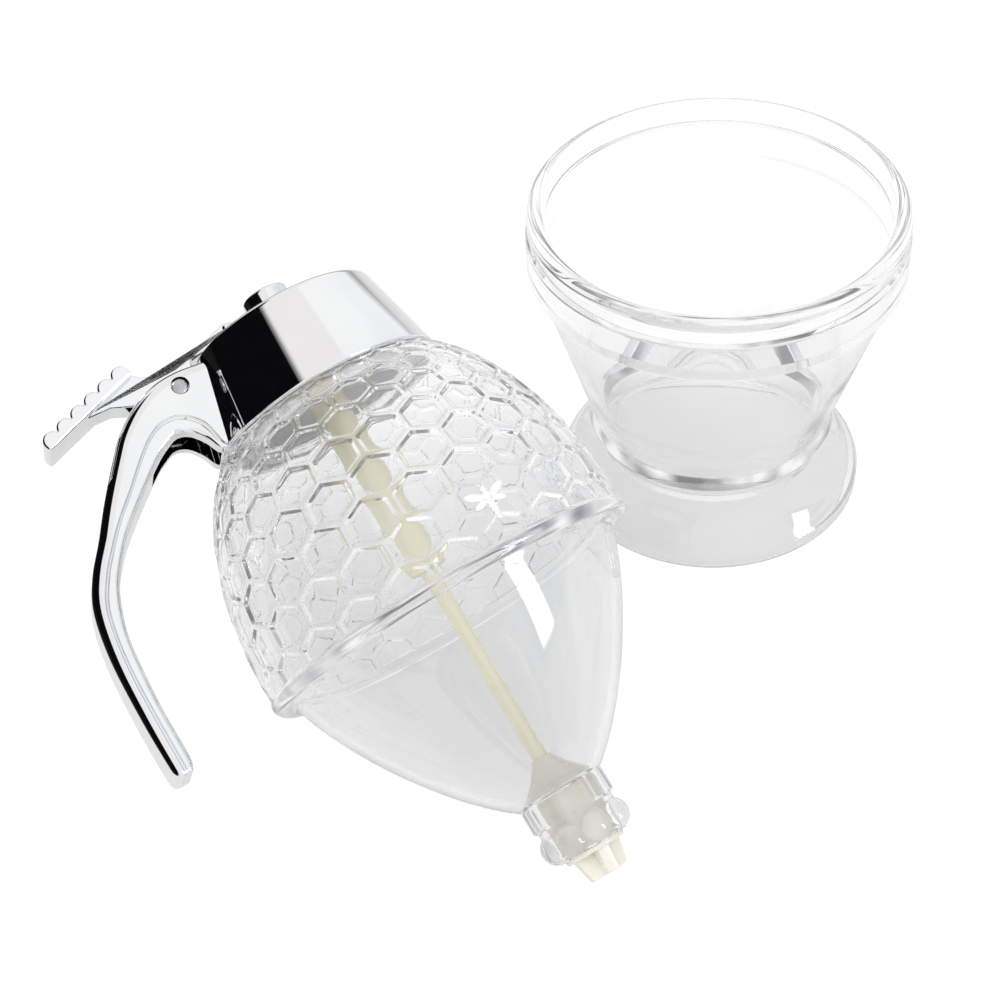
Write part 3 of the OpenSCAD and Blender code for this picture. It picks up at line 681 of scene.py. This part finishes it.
def bee_relief(dome):
    """A plain bee of low oval pebbles, moulded and frosted, on the smooth patch of the dome."""
    parts = []
    steps = 8
    for at_theta, at_psi, long, wide, high, turn in BEE_BODY + BEE_FRONT + BEE_SIDES:
        rows = []
        for ring in range(steps + 1):
            s = math.sin(math.pi / 2 * ring / steps)
            lift = high * math.cos(math.pi / 2 * ring / steps)
            row = []
            for a in turns(24):
                u, v = s * long * math.cos(a), s * wide * math.sin(a)
                x = at_theta + u * math.cos(turn) - v * math.sin(turn)
                y = at_psi + u * math.sin(turn) + v * math.cos(turn)
                row.append((BEE_THETA + BEE_SIZE * x, BEE_PSI + BEE_SIZE * y, -lift + 0.02))
            rows.append(row)
        flat, faces = grid(rows)
        parts.append((dome.at(*np.array(flat).T), faces[:-2] + [faces[-1][::-1]]))
    piece("bee_relief", *joined(*parts), "jar", "clear_acrylic", mat=FROST, sharp=60)


# ---- Cap ----

CAP_Z, CAP_R, CAP_TOP, CAP_TOP_R = 50.9, 26.5, 72.0, 21.6
CAP_SLOPE = (CAP_R - CAP_TOP_R) / (CAP_TOP - CAP_Z)
CAP_WALL, CEILING = 1.4, 70.4
STEM_HOLE = 4.1


def cap_r(z):
    return CAP_R - (z - CAP_Z) * CAP_SLOPE


def cap_shell():
    outline = [(cap_r(CAP_Z) - CAP_WALL, CAP_Z, 0.3), (CAP_R, CAP_Z, 0.45), (cap_r(60), 60),
               (CAP_TOP_R, CAP_TOP, 1.5), (12, CAP_TOP), (STEM_HOLE, CAP_TOP, 0.3),
               (STEM_HOLE, CEILING), (cap_r(CEILING) - CAP_WALL, CEILING, 0.8)]
    piece("cap_skirt", *lathe(rounded(outline, 6), AROUND), "cap", "chrome_plate", ["cap_shell"])


HANDLE_HALF, HANDLE_STEP, SLOT_HALF, SLOT_END = 8.0, 0.5, 4.0, 41.5
BACK_ROUND, FRONT_ROUND, GROOVE = 2.8, 1.5, 0.8
HANDLE_ROWS = 130
# Side lines of the handle from the cap to the tip: back edge, crease and front edge.
HANDLE_BACK = [(17.5, 69.9), (20.8, 70.3), (27.2, 70.9), (33, 70.2), (38.5, 67.9), (43.5, 64.2),
               (47.3, 60), (53.5, 52.3), (58.5, 45.4), (63.2, 39.2), (66.4, 32.5), (68.2, 22),
               (68.7, 8.7), (68.5, -2.5), (68.2, -4.3)]
HANDLE_CREASE = [(22.4, 51.5), (25.6, 51.5), (26.9, 56.6), (28.6, 59.4), (31.5, 61.5),
                 (35.5, 61.7), (39.5, 59.6), (43.8, 55.8), (47.7, 51.9), (52.5, 47.4),
                 (56.6, 42.9), (60.5, 38), (63.9, 31.5), (65.7, 21), (66.2, 9), (66.2, -4.6)]
HANDLE_FRONT = [(23.4, 51.1), (26.7, 51.1), (28.6, 54.6), (30.9, 57.3), (33.6, 58.1),
                (36.4, 56.9), (38.9, 55.4), (44, 51.4), (49.3, 46.9), (53.7, 42.6), (57.5, 37.6),
                (59.6, 34), (61.4, 29.1), (62.6, 24), (63.3, 16.1), (63.7, 8.2), (63.6, 0.1),
                (63.7, -3), (64.2, -4.4)]
# Across the crease: distance past it in millimetres, and depth below the side.
CREASE_STEPS = [(-0.3, 0.0), (-0.12, 0.06), (0.05, 0.3), (0.22, GROOVE), (0.5, GROOVE + 0.05)]
# The tip closes in a short round: angles, depth and share by which its sections shrink.
TIP_TURNS, TIP_DROP, TIP_SHRINK = (30, 55, 75), 0.8, 0.45
PIVOT, PIN_R, PIN_GAP = (27.9, 67.1), 1.75, 0.25


def handle_section(b, c, f, shrink=0.0, drop=0.0):
    """One closed section: round back edge, side, groove at the crease, inner band, front edge."""
    half, low = HANDLE_HALF, HANDLE_HALF - HANDLE_STEP
    b, c, f = (np.array(p, float) for p in (b, c, f))
    mid = (b + f) / 2
    b, c, f = (p + (mid - p) * shrink - (0.0, drop) for p in (b, c, f))
    wide, band = np.linalg.norm(c - b), np.linalg.norm(f - c)
    to_c, to_f = (c - b) / wide, (f - c) / band
    back_r, front_r = min(BACK_ROUND, 0.8 * wide), min(FRONT_ROUND, 0.5 * band)
    side = []
    for i in range(7):
        a = math.radians(90 * i / 6)
        side.append((b + to_c * back_r * (1 - math.cos(a)), half - back_r * (1 - math.sin(a))))
    side.append((b + to_c * (0.5 * (wide + back_r) - 0.15), half))
    for along, down in CREASE_STEPS:
        side.append((c + (to_c if along < 0 else to_f) * along, half - down))
    side.append((c + to_f * min(0.9, 0.45 * band), low))
    for i in range(6):
        a = math.radians(90 * i / 5)
        side.append((f - to_f * front_r * (1 - math.sin(a)), low - front_r * (1 - math.cos(a))))
    ring = [(p[0], v * (1 - shrink * 0.5), p[1]) for p, v in side]
    back = [(x, -v, z) for x, v, z in reversed(ring)]
    ring += [(f[0], low * k, f[1]) for k in (0.5, 0.0, -0.5)] + back
    ring += [(b[0], half * k, b[1]) for k in (-0.5, 0.0, 0.5)]
    return ring


def handle():
    """A loft of sections from the back edge to the front edge, then saddle, slot and pin hole."""
    lines = [even(smooth_line(line, 8), HANDLE_ROWS)
             for line in (HANDLE_BACK, HANDLE_CREASE, HANDLE_FRONT)]
    rows = [handle_section(*at) for at in zip(*lines)]
    for turn in TIP_TURNS:
        a = math.radians(turn)
        rows.append(handle_section(*(line[-1] for line in lines), TIP_SHRINK * (1 - math.cos(a)),
                                   TIP_DROP * math.sin(a)))
    obj = piece("handle_grip", *grid(rows), "cap", "chrome_plate", ["handle"])
    low, high = 40, 80
    saddle = [(0, low), (cap_r(low) + 0.05, low), (cap_r(high) + 0.05, high), (0, high)]
    slot = [(0, low), (SLOT_END, low, 0.6), (SLOT_END, high, 0.6), (0, high)]
    pin_hole = arc(*PIVOT, PIN_R + PIN_GAP, 0, 345, 23)
    cut_away(obj, *lathe(saddle, AROUND))
    cut_away(obj, *plate(rounded(slot), SLOT_HALF, 0.01, 1))
    cut_away(obj, *plate(pin_hole, HANDLE_HALF + 2, 0.01, 1))


def pivot_pin():
    end = [(-7.45, 0.0), (-7.45, 1.35), (-7.3, 1.65), (-7.1, PIN_R)]
    rows = [[(PIVOT[0] + r * math.cos(a), v, PIVOT[1] + r * math.sin(a)) for a in turns(40)]
            for v, r in end + [(-v, r) for v, r in reversed(end)]]
    piece("hinge_pin", *grid(rows, caps=False), "cap", "steel", ["pivot_pin"])


TUBE_R, TUBE_BORE, TUBE_FOOT, FLANGE_R, STEM_PASS = 4.1, 3.3, 9.0, 6.7, 2.2
DISC_TOP, FLANGE_TOP, SHOULDER = 66.2, 67.6, 64.6
ROD_R = 1.75


def guide_tube():
    outline = [(TUBE_BORE, TUBE_FOOT, 0.25), (TUBE_R, TUBE_FOOT, 0.3), (TUBE_R, DISC_TOP, 0.3),
               (FLANGE_R, DISC_TOP, 0.2), (FLANGE_R, FLANGE_TOP, 0.3), (2.9, FLANGE_TOP, 0.2),
               (STEM_PASS, FLANGE_TOP - 1), (STEM_PASS, SHOULDER, 0.1), (TUBE_BORE, SHOULDER)]
    piece("tube_body", *lathe(rounded(outline), 96), "cap", "ivory_plastic", ["guide_tube"])


SEAL_IN, SEAL_LIP, SEAL_R, SEAL_TOP = 2.6, 4.05, 6.1, CAP_TOP + 0.3


def stem_seal():
    outline = [(SEAL_IN, FLANGE_TOP, 0.2), (SEAL_R, FLANGE_TOP, 0.2), (SEAL_R, CEILING, 0.2),
               (SEAL_LIP, CEILING), (SEAL_LIP, SEAL_TOP, 0.35), (SEAL_IN, SEAL_TOP, 0.2)]
    piece("seal_ring", *lathe(rounded(outline), 96), "cap", "silicone", ["stem_seal"])


SPRING_TOP, SPRING_FOOT, COIL_R, WIRE_R, CURLS = 64.0, 42.0, 2.545, 0.25, 11


def return_spring():
    """A coil of wire from the spring's foot to its top, with a mesh of its own."""
    rise = SPRING_TOP - SPRING_FOOT - 2 * WIRE_R
    rows = []
    for i in range(CURLS * 24 + 1):
        s = i / 24
        t = s / CURLS
        # Closer curls at both ends.
        climb = t - 0.055 * math.sin(2 * math.pi * t)
        a = 2 * math.pi * s
        out = np.array([math.cos(a), math.sin(a), 0])
        middle = np.array([COIL_R * math.cos(a), COIL_R * math.sin(a),
                           SPRING_FOOT + WIRE_R + rise * climb])
        rows.append([tuple(middle + WIRE_R * math.cos(b) * out
                           + np.array([0, 0, WIRE_R * math.sin(b)])) for b in turns(10)])
    obj = piece("spring_coil", *grid(rows), "cap", "steel", ["return_spring"])
    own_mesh(obj)


# ---- Trigger ----

HEAD_Z = 76.3
PRONG_TOP, PRONG_H = HEAD_Z - 0.4, 2.6
LEVER_HALF, LEVER_EDGE = 3.5, 0.5
PLATE_L, PLATE_HALF, PLATE_SLOPE, PLATE_AT = 22.1, 5.75, math.radians(18.7), (7.2, 7.8)
RIDGES, RIDGE_PITCH, RIDGE_R, RIDGE_Z, RIDGE_FIRST = 6, 4.0, 2.05, 1.3, 1.8
FORK_HALF, FORK_GAP, FORK_TIP, FORK_ROOT = 5.2, 3.0, -2.4, 13
# The web's outline: corners from the pivot, in order from below the prongs to above them.
WEB = [(-3.4, -1, 1.5), (-2.4, -2.9, 1.5), (0, -3.7, 1.5), (2.4, -2.9, 1.5), (3.6, -1.0, 1.5),
       (10.7, 2, 1.5), (14.1, 3.5, 1.2), (21, 3.7, 0.5), (21, 5, 0.5), (8, 9, 1.0),
       (6.2, 7.6, 0.8), (4.4, 6.4, 0.8), (2.2, 5.2, 1.0), (-1.9, 5.4, 1.5)]


def thumb_lever():
    x, z = PIVOT
    web = [(11, PRONG_TOP - PRONG_H, 0.4), (22.0, 72.9, 0.6)]
    web += [(x + dx, z + dz, r) for dx, dz, r in WEB]
    web += [(12.2, PRONG_TOP + 1, 0.8), (10.4, PRONG_TOP + 0.8, 0.5), (9.4, PRONG_TOP, 0.3)]
    parts = [plate(rounded(web), LEVER_HALF, LEVER_EDGE)]
    # Thumb plate: flat below, a round ridge every few millimetres on top.
    top = []
    valley = RIDGE_Z + math.sqrt(RIDGE_R ** 2 - (RIDGE_PITCH / 2) ** 2) + 0.25
    start = math.degrees(math.asin((valley - RIDGE_Z) / RIDGE_R))
    for i in reversed(range(RIDGES)):
        top += arc(RIDGE_FIRST + RIDGE_PITCH * i, RIDGE_Z, RIDGE_R,
                   0 if i == RIDGES - 1 else start, 180 if i == 0 else 180 - start, 10)
    below = rounded([top[-1], (-0.25, 0, 0.5), (PLATE_L + 1.7, 0, 0.6), top[0]])[1:-1]
    c, s = math.cos(PLATE_SLOPE), math.sin(PLATE_SLOPE)
    turned = [(x + PLATE_AT[0] + u * c + v * s, z + PLATE_AT[1] - u * s + v * c)
              for u, v in below + top]
    parts.append(plate(turned, PLATE_HALF, LEVER_EDGE))
    # Two prongs round the knob's neck, seen from above, with the side line of the source.
    fork = rounded([(FORK_TIP, FORK_GAP, 0.4), (FORK_TIP, FORK_HALF, 0.8),
                    (FORK_ROOT, FORK_HALF, 0.8), (FORK_ROOT, -FORK_HALF, 0.8),
                    (FORK_TIP, -FORK_HALF, 0.8), (FORK_TIP, -FORK_GAP, 0.4)])
    fork += arc(0, 0, FORK_GAP, -90, 90, 14)
    foot = PRONG_TOP - PRONG_H
    rows = []
    for level, d in ((0.0, 0.25), (0.1, 0.05), (0.2, 0.0), (0.8, 0.0), (0.9, 0.05), (1.0, 0.25)):
        row = []
        for px, py in inset(fork, d):
            high = np.interp(px, [FORK_TIP, -2, 5, FORK_ROOT],
                             [PRONG_TOP - 1.6, PRONG_TOP - 1.3, PRONG_TOP, PRONG_TOP])
            row.append((px, py, foot + level * (high - PRONG_TOP + PRONG_H)))
        rows.append(row)
    parts.append(grid(rows))
    piece("lever_fork", *joined(*parts), "trigger", "chrome_plate", ["thumb_lever"])


# ---- Plunger ----

KNOB_R, KNOB_H, KNOB_NECK, KNOB_FOOT = 5.35, 3.7, 2.5, 68.2
ROD_TOP, ROD_END, CLIP_LOW, CLIP_HIGH, CLIP_GROOVE = HEAD_Z + 0.6, -43.4, 40.4, 42, 1.4
PLUG_TOP, PLUG_BASE, PLUG_END = -36.9, -44.9, -59.5
PLUG_R, BELL_R, TIP_L, FIN_HALF = 6.8, 8.0, 5.3, 1.3


def knob():
    top = HEAD_Z + KNOB_H
    outline = [(ROD_R + 0.05, KNOB_FOOT), (KNOB_NECK, KNOB_FOOT, 0.3), (KNOB_NECK, HEAD_Z, 0.3),
               (KNOB_R, HEAD_Z, 0.45), (KNOB_R, top, 0.9), (0, top), (0, ROD_TOP),
               (ROD_R + 0.05, ROD_TOP)]
    piece("knob_button", *lathe(rounded(outline, 6), 96), "plunger", "chrome_plate", ["knob"])


def plunger_rod():
    outline = [(0, ROD_END), (ROD_R, ROD_END, 0.2), (ROD_R, CLIP_LOW), (CLIP_GROOVE, CLIP_LOW),
               (CLIP_GROOVE, CLIP_HIGH), (ROD_R, CLIP_HIGH), (ROD_R, ROD_TOP, 0.3), (0, ROD_TOP)]
    piece("rod_body", *lathe(rounded(outline), 64), "plunger", "ivory_plastic", ["plunger_rod"])


def valve_plug():
    bell = [(ROD_R + 0.5, PLUG_TOP), (ROD_R + 2.2, PLUG_TOP - 3.2),
            (PLUG_R - 0.4, PLUG_BASE + 2.8), (BELL_R, PLUG_BASE + 1)]
    outline = [(0, PLUG_TOP)] + [tuple(p) for p in bezier(bell, 20)[:-1]]
    outline += rounded([(BELL_R - 0.1, PLUG_BASE + 1.1), (BELL_R, PLUG_BASE + 0.2, 0.35),
                        (PLUG_R, PLUG_BASE, 0.3), (PLUG_R, PLUG_END, 0.5), (0, PLUG_END)], 3)
    wide, narrow = PLUG_R - 1.4, PLUG_R - 2.7
    fin = rounded([(-wide, PLUG_END + 0.2), (wide, PLUG_END + 0.2),
                   (narrow, PLUG_END - TIP_L, 0.5), (-narrow, PLUG_END - TIP_L, 0.5)])
    verts, faces = plate(fin, FIN_HALF, 0.25)
    across = [(y, x, z) for x, y, z in verts], [f[::-1] for f in faces]
    piece("plug_bell", *joined(lathe(outline, 96), (verts, faces), across), "plunger",
          "silicone", ["valve_plug"])


# ---- Studio ----

# Where the photograph was taken from; the focal length suits a 36 mm wide square picture.
CAMERA_PLACE = (-0.05369, -0.34746, 0.33691)
CAMERA_RIGHT = (0.99735805, -0.05117385, -0.05155729)
CAMERA_UP = (0.07264239, 0.70260149, 0.70786597)
FOCAL = 68.4
AIM = (-0.02, 0, 0.03)
FLOOR_R, FLOOR_GRAIN, FLOOR_TONES = 2.5, 3.0, (grey(0.83), grey(0.86))
# To the camera the floor is this much its own glow, and this much a matte that takes shadows.
FLOOR_GLOW, FLOOR_MATTE = 0.82, 0.30
# Clear plastic sees the near floor as this share of the camera's, and all of it from there on.
NEAR_SHARE, NEAR_END, FAR_START = 0.45, 0.02, 0.08
BLACK, BOARD_BLACK = (0.003, 0.003, 0.004), grey(0.01)
# The floor is dark to mirrors further left than this, with an edge this soft, in metres.
BOARD_FAR, BOARD_EDGE = 0.21, 0.01
# Boards round the object, as the lowest and highest x, y and z of directions; -1 and 1 are open.
LEFT_BOARD = (-1, -0.85, -1), (-0.42, 0.62, 0.90)
BACK_BOARD = (-1, 0.6, -1), (0.45, 1, 0.16)
RIGHT_BOARD = (0.80, -0.6, -1), (1, 0.5, 0.45)
BACK_SHARE, LEFT_BENT, RIGHT_BENT = 0.6, 0.7, 0.85
# A tall lamp in directions of x, y / x and z.
TALL_LAMP = (0.3, -0.65, 0.03), (1, -0.37, 0.62)
TALL_GLOW, TALL_SOFT = 12.0, 0.015
# Walls by direction, from left to right: a pale warm one, a bright one and a pale blue one.
WALLS = ((0.0, (0.93, 0.90, 0.90)), (0.56, (0.93, 0.90, 0.90)), (0.58, (1, 1, 1)),
         (0.72, (1, 1, 1)), (0.85, (0.76, 0.81, 0.88)))
# World strength for matte surfaces, and for the camera, mirrors and clear plastic.
DIFFUSE_SKY, SEEN_SKY = 0.70, 1.06


def placed(name, data, place, right, up):
    """An object with its own x and y along right and up."""
    obj = linked(name, data)
    matrix = Matrix.Identity(4)
    for j, column in enumerate((right, up, np.cross(right, up), place)):
        for i in range(3):
            matrix[i][j] = column[i]
    obj.matrix_world = matrix
    return obj


def camera():
    data = bpy.data.cameras.new("camera")
    data.sensor_width, data.lens = 36, FOCAL
    data.clip_start, data.clip_end = 0.01, 20
    obj = placed("camera", data, CAMERA_PLACE, CAMERA_RIGHT, CAMERA_UP)
    bpy.context.scene.camera = obj


def lamp(name, place, size, power):
    """A wide lamp that faces the object and shows in no mirror."""
    data = bpy.data.lights.new(name, "AREA")
    data.shape, data.size, data.size_y, data.energy = "RECTANGLE", size[0], size[1], power
    back = np.array(place, float) - np.array(AIM, float)
    back /= np.linalg.norm(back)
    right = np.cross((0, 0, 1), back)
    right /= np.linalg.norm(right)
    obj = placed(name, data, place, right, np.cross(back, right))
    obj.visible_glossy = obj.visible_transmission = False


def floor():
    """White to the camera but for a faint shadow, and plain matte to the other rays.

    Mirrors see a dark board at its left.
    """
    mat = bpy.data.materials.new("floor")
    mat.use_nodes = True
    n = Nodes(mat.node_tree)
    mirror, through = n.rays()
    where = n.add("ShaderNodeTexCoord").outputs["Object"]
    x, y, _ = n.add("ShaderNodeSeparateXYZ", {0: where}).outputs
    board = n.spread(x, 1, 0, -BOARD_FAR - BOARD_EDGE, -BOARD_FAR + BOARD_EDGE)
    tone = n.blend(n.noise(FLOOR_GRAIN), *FLOOR_TONES)
    tone = n.blend(n.math("MULTIPLY", mirror, board), tone, BOARD_BLACK)
    matte = n.add("ShaderNodeBsdfDiffuse", {"Color": tone}).outputs[0]
    faint = n.add("ShaderNodeBsdfDiffuse", {"Color": (*grey(FLOOR_MATTE), 1)}).outputs[0]
    glow = n.add("ShaderNodeEmission", {"Color": (*grey(1), 1), "Strength": FLOOR_GLOW}).outputs[0]
    bright = n.add("ShaderNodeAddShader", {0: faint, 1: glow}).outputs[0]
    far = n.math("MULTIPLY", through, n.spread(y, NEAR_SHARE, 1, NEAR_END, FAR_START))
    seen = n.math("ADD", n.path()["Is Camera Ray"], far, clamp=True)
    n.add("ShaderNodeOutputMaterial", {"Surface": n.mix(seen, matte, bright)})
    mesh = bpy.data.meshes.new("floor")
    rim = [(FLOOR_R * math.cos(a), FLOOR_R * math.sin(a), 0) for a in turns(64)]
    mesh.from_pydata(rim, [], [list(range(64))])
    mesh.materials.append(mat)
    obj = linked("floor", mesh)


def panel(n, direction, low, high, soft=0.03):
    """1 where a direction's chosen parts all lie inside their bounds, else 0."""
    total = None
    for part, bounds in zip(direction, zip(low, high)):
        for bound, sign in zip(bounds, (1, -1)):
            if abs(bound) >= 1:
                continue
            edge = n.spread(part, 0, 1, bound - sign * soft, bound + sign * soft)
            total = edge if total is None else n.math("MULTIPLY", total, edge)
    return total


def studio():
    """White to the camera; metal and clear plastic also show boards, walls and a tall lamp."""
    world = bpy.data.worlds.new("studio")
    bpy.context.scene.world = world
    world.use_nodes = True
    n = Nodes(world.node_tree)
    mirror, through = n.rays()
    where = n.add("ShaderNodeTexCoord").outputs["Generated"]
    x, y, z = n.add("ShaderNodeSeparateXYZ", {0: where}).outputs
    left, back, right = (panel(n, (x, y, z), *board)
                         for board in (LEFT_BOARD, BACK_BOARD, RIGHT_BOARD))
    mirrored = n.math("ADD", left, n.math("MULTIPLY", back, BACK_SHARE), clamp=True)
    bent = n.math("ADD", n.math("MULTIPLY", left, LEFT_BENT),
                  n.math("MULTIPLY", right, RIGHT_BENT))
    dark = n.math("ADD", n.math("MULTIPLY", mirror, mirrored),
                  n.math("MULTIPLY", through, bent), clamp=True)
    walls = n.ramp(n.spread(x, 0, 1, -1, 1), WALLS)
    tone = n.blend(dark, n.blend(mirror, grey(1), walls), BLACK)
    seen = n.math("ADD", mirror, through, clamp=True)
    seen = n.math("ADD", seen, n.path()["Is Camera Ray"], clamp=True)
    tall = panel(n, (x, n.math("DIVIDE", y, x), z), *TALL_LAMP, TALL_SOFT)
    glow = n.math("MULTIPLY", n.math("MULTIPLY", tall, mirror), TALL_GLOW)
    strength = n.math("ADD", n.spread(seen, DIFFUSE_SKY, SEEN_SKY, 0, 1), glow)
    light = n.add("ShaderNodeBackground", {"Color": tone, "Strength": strength}).outputs[0]
    n.add("ShaderNodeOutputWorld", {"Surface": light})
    lamp("key", (-0.55, -0.45, 0.95), (1.4, 1.0), 6.0)
    lamp("fill", (0.75, -0.35, 0.75), (1.0, 0.9), 2.6)


dome_shape = Dome()
camera()
floor()
studio()
stand_bowl()
stand_foot()
jar_dome(dome_shape)
jar_funnel()
outlet_crown()
bee_relief(dome_shape)
cap_shell()
handle()
pivot_pin()
guide_tube()
stem_seal()
return_spring()
thumb_lever()
knob()
plunger_rod()
valve_plug()
bpy.context.scene.view_settings.view_transform = "Standard"
